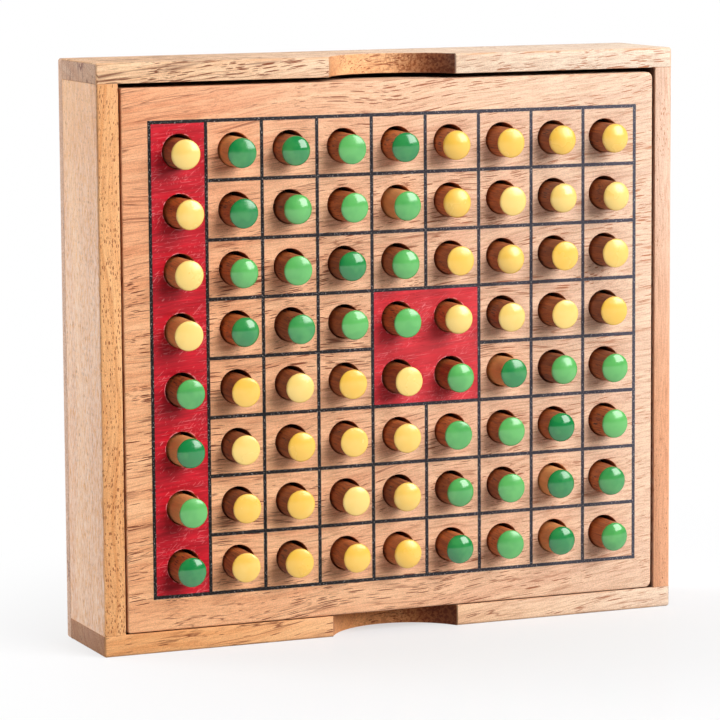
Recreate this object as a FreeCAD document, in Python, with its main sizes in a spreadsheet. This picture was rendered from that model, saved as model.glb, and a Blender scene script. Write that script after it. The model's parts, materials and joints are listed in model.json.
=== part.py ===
import FreeCAD, Part
import os
import Sketcher

# A peg board game: a shallow wooden case, a drilled board that drops into it face out,
# and pegs with two coloured ends. The case stands on its bottom wall and the board faces -Y.
# The origin is the middle of the face that the case stands on, with +X along it and +Z up.

# Driving dimensions, in millimetres.
SIZES = {
    # Turned pegs, round at both ends, one end in the board.
    "peg_diameter": 9.1,
    "peg_length": 21.0,
    "peg_dome": 1.0,
    "peg_seat_gap": 0.2,
    # Holes of the board: a loose fit, so that a peg lifts out with two fingers.
    "hole_clearance": 1.5,
    "hole_depth": 13.0,
    "hole_floor": 5.0,
    "pitch_across": 17.75,
    "pitch_up": 18.0,
    # From the outer holes' centres to the board's edges.
    "margin_left": 18.3,
    "margin_right": 17.0,
    "margin_bottom": 19.3,
    "margin_top": 19.4,
    # Room round the board inside the case: it sits low, with the wider gap above it.
    "gap_left": 0.65,
    "gap_right": 0.95,
    "gap_bottom": 0.3,
    "gap_top": 1.4,
    # The case, with walls of slightly different stock.
    "left_stock": 6.9,
    "right_stock": 5.8,
    "top_stock": 6.2,
    "bottom_stock": 6.5,
    "panel_stock": 4.0,
    # Rails that hold the board flush with the rim, and leave room behind it for the pegs
    # when it is put away face down.
    "rail_width": 6.0,
    "storage_clearance": 5.3,
    # Thumb notches in the top and bottom walls.
    "notch_width": 42.4,
    "notch_depth": 12.7,
    # Eased edges.
    "case_edge_round": 0.8,
    "board_edge_round": 0.6,
    "board_left_corner": 0.8,
    "board_right_corner": 2.2,
}

# The board's holes: one reserve column on the left, then the eight columns of play.
RESERVE = "reserve"
PLAY_COLUMNS = "abcdefgh"
COLUMNS = [RESERVE, *PLAY_COLUMNS]
ROWS = range(1, 9)

# The sixteen middle places of play have one peg to a node. The outer ones go two by two.
MIDDLE_COLUMNS = "cdef"
MIDDLE_ROWS = range(3, 7)

# Sizes that follow from the driving ones.
LAYOUT = {
    "hole_diameter": "Sizes.peg_diameter + Sizes.hole_clearance",
    "peg_droop": "Sizes.hole_clearance / 3",
    "peg_proud": "Sizes.peg_length + Sizes.peg_seat_gap - Sizes.hole_depth",
    "board_width": f"Sizes.margin_left + {len(COLUMNS) - 1} * Sizes.pitch_across + Sizes.margin_right",
    "board_height": f"Sizes.margin_bottom + {len(ROWS) - 1} * Sizes.pitch_up + Sizes.margin_top",
    "board_thickness": "Sizes.hole_depth + Sizes.hole_floor",
    "rail_depth": "Layout.peg_proud + Sizes.storage_clearance",
    "wall_depth": "Layout.board_thickness + Layout.rail_depth",
    "inner_width": "Sizes.gap_left + Layout.board_width + Sizes.gap_right",
    "inner_height": "Sizes.gap_bottom + Layout.board_height + Sizes.gap_top",
    "case_width": "Sizes.left_stock + Layout.inner_width + Sizes.right_stock",
    "case_height": "Sizes.bottom_stock + Layout.inner_height + Sizes.top_stock",
    "notch_radius": "(Sizes.notch_width ^ 2 / 4 + Sizes.notch_depth ^ 2) / (2 * Sizes.notch_depth)",
    "left": "-Layout.case_width / 2",
    "front": "-(Layout.wall_depth + Sizes.panel_stock) / 2",
    "back": "Layout.front + Layout.wall_depth",
    "inner_left": "Layout.left + Sizes.left_stock",
    "inner_right": "Layout.inner_left + Layout.inner_width",
    "inner_top": "Sizes.bottom_stock + Layout.inner_height",
    "board_back": "Layout.front + Layout.board_thickness",
    "board_left": "Layout.inner_left + Sizes.gap_left",
    "board_bottom": "Sizes.bottom_stock + Sizes.gap_bottom",
}

TOLERANCE = 1e-6
# A pattern's step of -1 means that it is as long as the others.
COMMON_STEP = -1.0

doc = FreeCAD.newDocument("PegBoardGame")


def make_sheet():
    sheet = doc.addObject("Spreadsheet::Sheet", "Sizes")
    for row, (alias, number) in enumerate(SIZES.items(), start=1):
        sheet.set(f"A{row}", alias)
        sheet.set(f"B{row}", str(number))
        sheet.setAlias(f"B{row}", alias)
    doc.recompute()
    return sheet


def make_layout():
    layout = doc.addObject("App::VarSet", "Layout")
    for name in LAYOUT:
        layout.addProperty("App::PropertyFloat", name, "Layout")
    for name, formula in LAYOUT.items():
        layout.setExpression(name, formula)
    doc.recompute()
    return layout


def value(formula):
    return float(layout.evalExpression(formula))


def new_body(label, x, y, z):
    body = doc.addObject("PartDesign::Body", label)
    body.Label = label
    for axis, place in zip("xyz", (x, y, z)):
        body.setExpression(f"Placement.Base.{axis}", place)
    return body


def origin_feature(body, role):
    return next(feature for feature in body.Origin.OriginFeatures if feature.Role == role)


def new_sketch(body, name, role):
    sketch = body.newObject("Sketcher::SketchObject", f"{body.Label}_{name}")
    sketch.AttachmentSupport = [(origin_feature(body, role), "")]
    sketch.MapMode = "FlatFace"
    return sketch


def constrain(sketch, formula, *constraint):
    index = sketch.addConstraint(Sketcher.Constraint(*constraint, value(formula)))
    sketch.setExpression(f"Constraints[{index}]", formula)


# A rectangle with one corner on the sketch's origin.
def draw_rectangle(sketch, width, height):
    corners = [(0, 0), (value(width), 0), (value(width), value(height)), (0, value(height))]
    points = [FreeCAD.Vector(x, y, 0) for x, y in corners]
    for start, end in zip(points, points[1:] + points[:1]):
        sketch.addGeometry(Part.LineSegment(start, end))
    for line in range(4):
        sketch.addConstraint(Sketcher.Constraint("Coincident", line, 2, (line + 1) % 4, 1))
        sketch.addConstraint(Sketcher.Constraint("Vertical" if line % 2 else "Horizontal", line))
    sketch.addConstraint(Sketcher.Constraint("Coincident", 0, 1, -1, 1))
    constrain(sketch, width, "DistanceX", 0, 1, 0, 2)
    constrain(sketch, height, "DistanceY", 1, 1, 1, 2)


def draw_circle(sketch, x, y, radius):
    centre = FreeCAD.Vector(value(x), value(y), 0)
    sketch.addGeometry(Part.Circle(centre, FreeCAD.Vector(0, 0, 1), value(radius)))
    constrain(sketch, radius, "Radius", 0)
    constrain(sketch, x, "DistanceX", -1, 1, 0, 3)
    constrain(sketch, y, "DistanceY", -1, 1, 0, 3)


def add_pad(body, sketch, length, backwards=False):
    pad = body.newObject("PartDesign::Pad", f"{body.Label}_pad")
    pad.Profile = sketch
    pad.Reversed = backwards
    pad.setExpression("Length", length)
    doc.recompute()
    return pad


def add_pocket(body, sketch, name, depth, backwards=False):
    before = body.Shape.Volume
    pocket = body.newObject("PartDesign::Pocket", f"{body.Label}_{name}")
    pocket.Profile = sketch
    pocket.Reversed = backwards
    pocket.setExpression("Length", depth)
    doc.recompute()
    if body.Shape.Volume >= before:
        raise RuntimeError(f"{pocket.Label} cuts nothing")
    return pocket


# True where an edge lies in all of the given planes, such as {"X": 0, "Y": 12.5}.
def lies_in(edge, planes):
    box = edge.BoundBox
    ends = [getattr(box, axis + end) - place for axis, place in planes.items() for end in ("Min", "Max")]
    return max(abs(end) for end in ends) < TOLERANCE


def add_fillet(body, name, radius, *places):
    base = body.Tip
    edges = [
        f"Edge{number}"
        for number, edge in enumerate(base.Shape.Edges, start=1)
        if any(lies_in(edge, planes) for planes in places)
    ]
    fillet = body.newObject("PartDesign::Fillet", f"{body.Label}_{name}")
    fillet.Base = (base, edges)
    fillet.setExpression("Radius", radius)
    doc.recompute()
    return fillet


# The top and bottom walls run over the ends of the side walls, and each has a thumb notch
# sawn from its front edge. The outer height is the side that shows outside.
def make_notched_wall(label, z, stock, outer):
    body = new_body(label, "Layout.left", "Layout.front", z)
    outline = new_sketch(body, "outline", "XY_Plane")
    draw_rectangle(outline, "Layout.case_width", "Layout.wall_depth")
    add_pad(body, outline, stock)

    notch = new_sketch(body, "notch_line", "XY_Plane")
    draw_circle(notch, "Layout.case_width / 2", "Sizes.notch_depth - Layout.notch_radius", "Layout.notch_radius")
    add_pocket(body, notch, "notch", stock, backwards=True)

    ends = (0, value("Layout.case_width"))
    outer_edges = [{"Y": 0, "Z": outer}]
    outer_edges += [{"X": end, "Y": 0} for end in ends]
    outer_edges += [{"X": end, "Z": outer} for end in ends]
    add_fillet(body, "eased_edges", "Sizes.case_edge_round", *outer_edges)
    return body


def make_side_wall(label, x, stock, outer):
    body = new_body(label, x, "Layout.front", "Sizes.bottom_stock")
    outline = new_sketch(body, "outline", "XY_Plane")
    draw_rectangle(outline, stock, "Layout.wall_depth")
    add_pad(body, outline, "Layout.inner_height")
    add_fillet(body, "eased_edge", "Sizes.case_edge_round", {"X": outer, "Y": 0})
    return body


# The back panel covers the ends of all four walls.
def make_back_panel():
    body = new_body("back_panel", "Layout.left", "Layout.back", "0")
    outline = new_sketch(body, "outline", "XZ_Plane")
    draw_rectangle(outline, "Layout.case_width", "Layout.case_height")
    add_pad(body, outline, "Sizes.panel_stock", backwards=True)

    back = value("Sizes.panel_stock")
    sides = (0, value("Layout.case_width"))
    levels = (0, value("Layout.case_height"))
    outer_edges = [{"X": side, "Y": back} for side in sides]
    outer_edges += [{"Y": back, "Z": level} for level in levels]
    outer_edges += [{"X": side, "Z": level} for side in sides for level in levels]
    add_fillet(body, "eased_edges", "Sizes.case_edge_round", *outer_edges)
    return body


def make_rail(label, x):
    body = new_body(label, x, "Layout.board_back", "Sizes.bottom_stock")
    outline = new_sketch(body, "outline", "XY_Plane")
    draw_rectangle(outline, "Sizes.rail_width", "Layout.rail_depth")
    add_pad(body, outline, "Layout.inner_height")
    return body


# The board is one thick plank, rounded more at its right-hand corners, with a grid of blind holes.
def make_board():
    body = new_body("game_board", "Layout.board_left", "Layout.front", "Layout.board_bottom")
    outline = new_sketch(body, "outline", "XZ_Plane")
    draw_rectangle(outline, "Layout.board_width", "Layout.board_height")
    add_pad(body, outline, "Layout.board_thickness", backwards=True)

    right = value("Layout.board_width")
    levels = (0, value("Layout.board_height"))
    add_fillet(body, "left_corners", "Sizes.board_left_corner", *[{"X": 0, "Z": level} for level in levels])
    add_fillet(body, "right_corners", "Sizes.board_right_corner", *[{"X": right, "Z": level} for level in levels])
    add_fillet(body, "eased_edge", "Sizes.board_edge_round", {"Y": 0})

    plank_volume = body.Shape.Volume
    first = new_sketch(body, "first_hole_line", "XZ_Plane")
    draw_circle(first, "Sizes.margin_left", "Sizes.margin_bottom", "Layout.hole_diameter / 2")
    first_hole = add_pocket(body, first, "first_hole", "Sizes.hole_depth")
    hole_volume = plank_volume - body.Shape.Volume

    holes = body.newObject("PartDesign::LinearPattern", "game_board_holes")
    holes.Originals = [first_hole]
    holes.Direction = (first, ["H_Axis"])
    holes.Mode = "Spacing"
    holes.setExpression("Offset", "Sizes.pitch_across")
    holes.Occurrences = len(COLUMNS)
    holes.Direction2 = (first, ["V_Axis"])
    holes.Mode2 = "Spacing"
    holes.setExpression("Offset2", "Sizes.pitch_up")
    holes.Occurrences2 = len(ROWS)
    holes.Spacings2 = [COMMON_STEP] * (len(ROWS) - 1)
    body.Tip = holes
    doc.recompute()
    drilled = (plank_volume - body.Shape.Volume) / hole_volume
    if abs(drilled - len(COLUMNS) * len(ROWS)) > 0.01:
        raise RuntimeError(f"the board has {drilled:.2f} holes")
    return body


# Half of a peg's outline, turned about its axis: a dome, a straight side and the other dome.
def draw_peg_profile(sketch):
    radius = value("Sizes.peg_diameter / 2")
    dome = value("Sizes.peg_dome")
    length = value("Sizes.peg_length")
    bow = (radius**2 + dome**2) / (2 * dome)
    half_dome = bow - (bow**2 - radius**2 / 4) ** 0.5
    front = FreeCAD.Vector(0, 0, 0)
    front_shoulder = FreeCAD.Vector(radius, dome, 0)
    back_shoulder = FreeCAD.Vector(radius, length - dome, 0)
    back = FreeCAD.Vector(0, length, 0)
    front_bow = FreeCAD.Vector(radius / 2, half_dome, 0)
    back_bow = FreeCAD.Vector(radius / 2, length - half_dome, 0)
    sketch.addGeometry(Part.LineSegment(back, front))
    sketch.addGeometry(Part.Arc(front, front_bow, front_shoulder))
    sketch.addGeometry(Part.LineSegment(front_shoulder, back_shoulder))
    sketch.addGeometry(Part.Arc(back_shoulder, back_bow, back))
    axis, front_arc, side, back_arc = range(4)
    start, end, centre = 1, 2, 3
    joints = [
        (axis, end, front_arc, start),
        (front_arc, end, side, start),
        (side, end, back_arc, start),
        (back_arc, end, axis, start),
        (axis, end, -1, 1),
    ]
    for joint in joints:
        sketch.addConstraint(Sketcher.Constraint("Coincident", *joint))
    for line in (axis, side):
        sketch.addConstraint(Sketcher.Constraint("Vertical", line))
    for arc in (front_arc, back_arc):
        sketch.addConstraint(Sketcher.Constraint("PointOnObject", arc, centre, axis))
    constrain(sketch, "Sizes.peg_length", "DistanceY", axis, end, axis, start)
    constrain(sketch, "Sizes.peg_diameter / 2", "DistanceX", axis, end, front_arc, end)
    constrain(sketch, "Sizes.peg_dome", "DistanceY", axis, end, front_arc, end)
    constrain(sketch, "Sizes.peg_dome", "DistanceY", side, end, axis, start)


# One peg, or two that stand one above the other in a column.
def make_pegs(label, column, lowest_row, count):
    x = f"Layout.board_left + Sizes.margin_left + {column} * Sizes.pitch_across"
    y = "Layout.front - Layout.peg_proud"
    z = f"Layout.board_bottom + Sizes.margin_bottom + {lowest_row} * Sizes.pitch_up - Layout.peg_droop"
    body = new_body(label, x, y, z)
    profile = new_sketch(body, "profile", "XY_Plane")
    draw_peg_profile(profile)
    turned = body.newObject("PartDesign::Revolution", f"{label}_turned")
    turned.Profile = profile
    turned.ReferenceAxis = (profile, ["V_Axis"])
    doc.recompute([turned])
    if count > 1:
        stack = body.newObject("PartDesign::LinearPattern", f"{label}_stack")
        stack.Originals = [turned]
        stack.Direction = (origin_feature(body, "Z_Axis"), [""])
        stack.Mode = "Spacing"
        stack.setExpression("Offset", "Sizes.pitch_up")
        stack.Occurrences = count
        body.Tip = stack
    return body


def make_all_pegs():
    pegs = []
    for column, letter in enumerate(COLUMNS):
        for row in ROWS:
            place = f"{letter}{row}"
            middle = letter in MIDDLE_COLUMNS and row in MIDDLE_ROWS
            if letter == RESERVE:
                pegs.append(make_pegs(f"reserve_peg_{row}", column, row - 1, 1))
            elif middle:
                pegs.append(make_pegs(f"peg_{place}", column, row - 1, 1))
            elif row % 2:
                pegs.append(make_pegs(f"peg_pair_{place}_{letter}{row + 1}", column, row - 1, 2))
    return pegs


def check_all(sub_parts):
    for item in doc.Objects:
        if {"Invalid", "Error"} & set(item.State):
            raise RuntimeError(f"{item.Label}: {item.State}")
    for body in sub_parts:
        if body.Shape.isNull() or not body.Shape.isValid():
            raise RuntimeError(f"{body.Label} has no valid shape")


sheet = make_sheet()
layout = make_layout()

sub_parts = [
    make_notched_wall("top_wall", "Layout.inner_top", "Sizes.top_stock", value("Sizes.top_stock")),
    make_notched_wall("bottom_wall", "0", "Sizes.bottom_stock", 0),
    make_side_wall("left_wall", "Layout.left", "Sizes.left_stock", 0),
    make_side_wall("right_wall", "Layout.inner_right", "Sizes.right_stock", value("Sizes.right_stock")),
    make_back_panel(),
    make_rail("left_rail", "Layout.inner_left"),
    make_rail("right_rail", "Layout.inner_right - Sizes.rail_width"),
    make_board(),
    *make_all_pegs(),
]
doc.recompute()
check_all(sub_parts)

os.makedirs("parts", exist_ok=True)
for body in sub_parts:
    body.Shape.exportStep(f"parts/{body.Label}.step")
    print(body.Label, len(body.Shape.Solids), "solid,", round(body.Shape.Volume), "cubic mm")
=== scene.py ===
import json
import math
import random

import bmesh
import bpy
from mathutils import Matrix, Vector


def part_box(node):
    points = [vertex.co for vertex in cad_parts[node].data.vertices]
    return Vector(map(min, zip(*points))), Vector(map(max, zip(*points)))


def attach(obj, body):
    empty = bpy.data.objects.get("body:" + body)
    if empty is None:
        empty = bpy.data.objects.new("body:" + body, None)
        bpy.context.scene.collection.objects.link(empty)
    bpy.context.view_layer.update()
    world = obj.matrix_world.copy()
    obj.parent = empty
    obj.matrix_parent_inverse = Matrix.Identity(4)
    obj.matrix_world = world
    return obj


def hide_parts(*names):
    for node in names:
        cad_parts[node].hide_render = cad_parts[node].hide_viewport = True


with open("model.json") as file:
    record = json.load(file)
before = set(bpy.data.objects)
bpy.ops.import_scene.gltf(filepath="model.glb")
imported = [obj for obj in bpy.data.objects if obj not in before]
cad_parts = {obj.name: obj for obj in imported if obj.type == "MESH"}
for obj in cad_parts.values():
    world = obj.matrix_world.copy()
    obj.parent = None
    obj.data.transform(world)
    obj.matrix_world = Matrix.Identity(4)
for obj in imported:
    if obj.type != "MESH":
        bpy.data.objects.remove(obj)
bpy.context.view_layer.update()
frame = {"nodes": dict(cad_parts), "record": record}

mm = 0.001
scene = bpy.context.scene
scene.view_settings.view_transform = "Standard"

# slots and sizes that the pieces share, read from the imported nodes
slots = {part["node"]: part["material_slot"] for part in frame["record"]["subparts"]}
columns, rows = 9, 8
boardLow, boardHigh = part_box("game_board")
frontY = boardLow.y
caseLow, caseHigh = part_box("back_panel")
innerLow = Vector((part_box("left_wall")[1].x, frontY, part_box("bottom_wall")[1].z))
innerHigh = Vector((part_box("right_wall")[0].x, caseHigh.y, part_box("top_wall")[0].z))
pegBoxes = {name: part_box(name) for name in frame["nodes"] if "peg" in name}
pegFoot, pegHead = pegBoxes["reserve_peg_1"]
pegRadius = (pegHead.x - pegFoot.x) / 2
pegLength = pegHead.y - pegFoot.y
pitchUp = pegBoxes["reserve_peg_2"][0].z - pegFoot.z
pitchAcross = (pegBoxes["peg_pair_h1_h2"][0].x - pegFoot.x) / (columns - 1)


# node helpers, for shaders and for geometry

def plug(tree, socket, value):
    if isinstance(value, bpy.types.NodeSocket):
        tree.links.new(value, socket)
    else:
        socket.default_value = value


def addNode(tree, kind, inputs=None, **settings):
    made = tree.nodes.new(kind)
    for name, setting in settings.items():
        setattr(made, name, setting)
    for key, value in (inputs or {}).items():
        plug(tree, made.inputs[key], value)
    return made


# one result of a new node: the first, unless another is named
def valueOf(tree, kind, inputs=None, result=0, **settings):
    return addNode(tree, kind, inputs, **settings).outputs[result]


def maths(tree, operation, *values):
    return valueOf(tree, "ShaderNodeMath", dict(enumerate(values)), operation=operation)


# an operation that takes any number of values, from the first to the last
def chainOf(operation):
    def chained(tree, first, *others):
        for value in others:
            first = maths(tree, operation, first, value)
        return first
    return chained


times, over = chainOf("MULTIPLY"), chainOf("DIVIDE")
plus, minus = chainOf("ADD"), chainOf("SUBTRACT")
largest, smallest = chainOf("MAXIMUM"), chainOf("MINIMUM")


def squared(tree, value):
    return maths(tree, "POWER", value, 2.0)


def unsigned(tree, value):
    return maths(tree, "ABSOLUTE", value)


def opposite(tree, share):
    return minus(tree, 1.0, share)


def clamped(tree, value):
    return smallest(tree, largest(tree, value, 0.0), 1.0)


# how far a noise is from the middle of its range
def fromMiddle(tree, value):
    return unsigned(tree, minus(tree, value, 0.5))


def vectorMaths(tree, operation, *values):
    result = "Value" if operation in ("DOT_PRODUCT", "LENGTH") else "Vector"
    return valueOf(tree, "ShaderNodeVectorMath", dict(enumerate(values)), result, operation=operation)


def distance(tree, first, second):
    return vectorMaths(tree, "LENGTH", vectorMaths(tree, "SUBTRACT", first, second))


def ramp(tree, value, low, high, toLow=0.0, toHigh=1.0):
    inputs = {0: value, 1: low, 2: high, 3: toLow, 4: toHigh}
    return valueOf(tree, "ShaderNodeMapRange", inputs, interpolation_type="SMOOTHSTEP")


def between(tree, value, low, high, soft):
    rising = ramp(tree, value, low - soft, low + soft)
    falling = ramp(tree, value, high - soft, high + soft, 1.0, 0.0)
    return times(tree, rising, falling)


# a colour as it is written, made linear for a shader: what another node gives stays as it is
def tone(colour):
    if isinstance(colour, bpy.types.NodeSocket):
        return colour
    shares = [part / 255 for part in colour]
    linear = [share / 12.92 if share <= 0.04045 else ((share + 0.055) / 1.055) ** 2.4 for share in shares]
    return (*linear, 1.0)


def mixNumber(tree, share, first, second):
    return valueOf(tree, "ShaderNodeMix", {0: share, 2: first, 3: second})


def mixTone(tree, share, first, second, blend="MIX"):
    inputs = {0: share, 6: tone(first), 7: tone(second)}
    return valueOf(tree, "ShaderNodeMix", inputs, 2, data_type="RGBA", blend_type=blend)


# a colour, part way to itself multiplied by a tint
def tinted(tree, share, colour, tint):
    return mixTone(tree, share, colour, mixTone(tree, 1.0, colour, tint, "MULTIPLY"))


# one number as the stretch is the same all ways
def noise(tree, vector, stretch, detail=2.0, roughness=0.5, result=0):
    ways = (stretch,) * 3 if isinstance(stretch, int) else stretch
    scaled = vectorMaths(tree, "MULTIPLY", vector, ways)
    inputs = {"Vector": scaled, "Scale": 1.0, "Detail": detail, "Roughness": roughness}
    return valueOf(tree, "ShaderNodeTexNoise", inputs, result)


# noise cut to the part of its range that shows
def blotches(tree, vector, stretch, span, detail=2.0, roughness=0.5, to=(0.0, 1.0)):
    return ramp(tree, noise(tree, vector, stretch, detail, roughness), *span, *to)


def split(tree, vector):
    return addNode(tree, "ShaderNodeSeparateXYZ", {0: vector}).outputs


def joined(tree, parts):
    return valueOf(tree, "ShaderNodeCombineXYZ", parts)


def newGroup(name, treeKind, inputs, outputs):
    tree = bpy.data.node_groups.new(name, treeKind)
    for way, sockets in (("INPUT", inputs), ("OUTPUT", outputs)):
        for kind, labels in sockets.items():
            for label in labels:
                tree.interface.new_socket(label, in_out=way, socket_type="NodeSocket" + kind)
    return tree, tree.nodes.new("NodeGroupInput").outputs, tree.nodes.new("NodeGroupOutput").inputs


# solid wood with its grain along X: growth rings about a far heart, thin dark lines, fibres, and pores
# that show as dashes on a long face and as dots on an end
grain = {
    "wander": 11, "heart": (0, 90, -60), "fibreTint": (190, 150, 126), "widestPore": 0.42,
    "bump": 0.6, "shine": 0.32, "smudges": (0.3, 0.7),
}


def makeWoodGroup():
    inputs = {
        "Vector": ["Vector"], "Color": ["Pale", "Deep", "Pore"],
        "Float": [
            "Ring Gap", "Ring Depth", "Line Depth", "Pore Share", "Pore Length", "Pore Gap", "Least Crowd",
            "Fibre Depth",
        ],
    }
    outputs = {"Color": ["Color"], "Float": ["Height", "Pores"]}
    tree, given, result = newGroup("woodGrain", "ShaderNodeTree", inputs, outputs)
    place = given["Vector"]

    drift = noise(tree, place, (16, 30, 30), 1.0, result=1)
    drift = vectorMaths(tree, "SUBTRACT", drift, (0.5, 0.5, 0.5))
    drift = vectorMaths(tree, "MULTIPLY", drift, (0.0, grain["wander"] * mm, grain["wander"] * mm))
    bent = vectorMaths(tree, "ADD", place, drift)

    fromHeart = vectorMaths(tree, "SUBTRACT", bent, tuple(part * mm for part in grain["heart"]))
    fromHeart = vectorMaths(tree, "MULTIPLY", fromHeart, (0.0, 1.0, 1.0))
    rings = over(tree, vectorMaths(tree, "LENGTH", fromHeart), given["Ring Gap"])
    rings = {"W": rings, "Scale": 1.0, "Detail": 3.0, "Roughness": 0.6}
    rings = valueOf(tree, "ShaderNodeTexNoise", rings, noise_dimensions="1D")
    rings = ramp(tree, rings, 0.34, 0.72)
    patches = blotches(tree, bent, (18, 80, 80), (0.35, 0.7))
    fibres = noise(tree, bent, (90, 2100, 2100), 3.0, 0.7)

    # thin lines along the grain, broken here and there
    lines = fromMiddle(tree, noise(tree, bent, (14, 420, 420), 2.0, 0.6))
    lines = ramp(tree, lines, 0.0, 0.025, 1.0, 0.0)
    lines = times(tree, lines, blotches(tree, bent, (40, 260, 260), (0.4, 0.62)))

    # pores are long narrow vessels, crowded in some rings and rare in others
    vessel = joined(tree, {0: given["Pore Length"], 1: given["Pore Gap"], 2: given["Pore Gap"]})
    vessel = {"Vector": vectorMaths(tree, "MULTIPLY", bent, vessel), "Scale": 1.0}
    vessel = addNode(tree, "ShaderNodeTexVoronoi", vessel).outputs
    crowd = blotches(tree, bent, (11, 170, 170), (0.32, 0.66), 3.0, to=(given["Least Crowd"], 1.05))
    area = blotches(tree, place, (9, 20, 20), (0.36, 0.58), 1.0, to=(0.75, 1.1))
    size = ramp(tree, split(tree, vessel["Color"])[0], 0.0, 1.0, 0.3, 1.15)
    reach = times(tree, times(tree, crowd, area), size, given["Pore Share"])
    pores = minus(tree, smallest(tree, reach, grain["widestPore"]), vessel["Distance"])
    pores = ramp(tree, pores, 0.0, 0.07)

    depth = plus(tree, times(tree, rings, 0.6), times(tree, patches, 0.4))
    wood = mixTone(tree, times(tree, depth, given["Ring Depth"]), given["Pale"], given["Deep"])
    shade = times(tree, ramp(tree, fibres, 0.28, 0.62, 1.0, 0.0), given["Fibre Depth"])
    wood = tinted(tree, shade, wood, grain["fibreTint"])
    grit = blotches(tree, place, 3200, (0.3, 0.7), 0.0, to=(0.9, 1.08))
    wood = mixTone(tree, 1.0, wood, grit, "MULTIPLY")
    dark = largest(tree, pores, times(tree, lines, given["Line Depth"]))
    plug(tree, result["Color"], mixTone(tree, dark, wood, given["Pore"]))
    plug(tree, result["Height"], minus(tree, times(tree, fibres, 0.4), dark))
    plug(tree, result["Pores"], dark)
    return tree


# where hands and sanding have rubbed the front edges: the normal is part way to the front there
def makeRubbedGroup():
    inputs, outputs = {"Vector": ["Normal", "Vector"]}, {"Float": ["Mask"]}
    tree, given, result = newGroup("rubbedEdge", "ShaderNodeTree", inputs, outputs)
    lean = unsigned(tree, split(tree, given["Normal"])[1])
    slope = times(tree, ramp(tree, lean, 0.08, 0.3), ramp(tree, lean, 0.9, 0.985, 1.0, 0.0))
    patchy = blotches(tree, given["Vector"], 130, (0.35, 0.62), 3.0)
    plug(tree, result["Mask"], times(tree, slope, patchy))
    return tree


# faint smudges and fine scratches left by handling
def makeHandledGroup():
    inputs, outputs = {"Vector": ["Vector"]}, {"Float": ["Smudge", "Scratch"]}
    tree, given, result = newGroup("handledFinish", "ShaderNodeTree", inputs, outputs)
    place = given["Vector"]
    slanted = {"Vector": place, "Rotation": (0.0, math.radians(38), 0.0)}
    slanted = valueOf(tree, "ShaderNodeMapping", slanted)
    where = blotches(tree, place, (60, 160, 160), (0.35, 0.65), to=(-0.07, 0.03))
    scratches = []
    for marks, start, end in (
        (noise(tree, place, (240, 4800, 4800), 0.0), 0.69, 0.75),
        (noise(tree, place, (4400, 4400, 800), 0.0), 0.735, 0.785),
        (noise(tree, slanted, (420, 4600, 4600), 0.0), 0.72, 0.77),
        (noise(tree, place, 2600, 1.0), 0.73, 0.78),
    ):
        scratches.append(ramp(tree, plus(tree, marks, where), start, end))
    plug(tree, result["Smudge"], noise(tree, place, 45, 4.0, 0.6))
    plug(tree, result["Scratch"], largest(tree, *scratches))
    return tree


woodGroup = makeWoodGroup()
rubbedGroup = makeRubbedGroup()
handledGroup = makeHandledGroup()


# the empty node tree of a material or a world
def emptyTree(owner):
    owner.use_nodes = True
    owner.node_tree.nodes.clear()
    return owner.node_tree


def newMaterial(name):
    material = bpy.data.materials.new(name)
    tree = emptyTree(material)
    shader = addNode(tree, "ShaderNodeBsdfPrincipled")
    addNode(tree, "ShaderNodeOutputMaterial", {"Surface": shader.outputs[0]})
    return material, tree, shader


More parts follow.
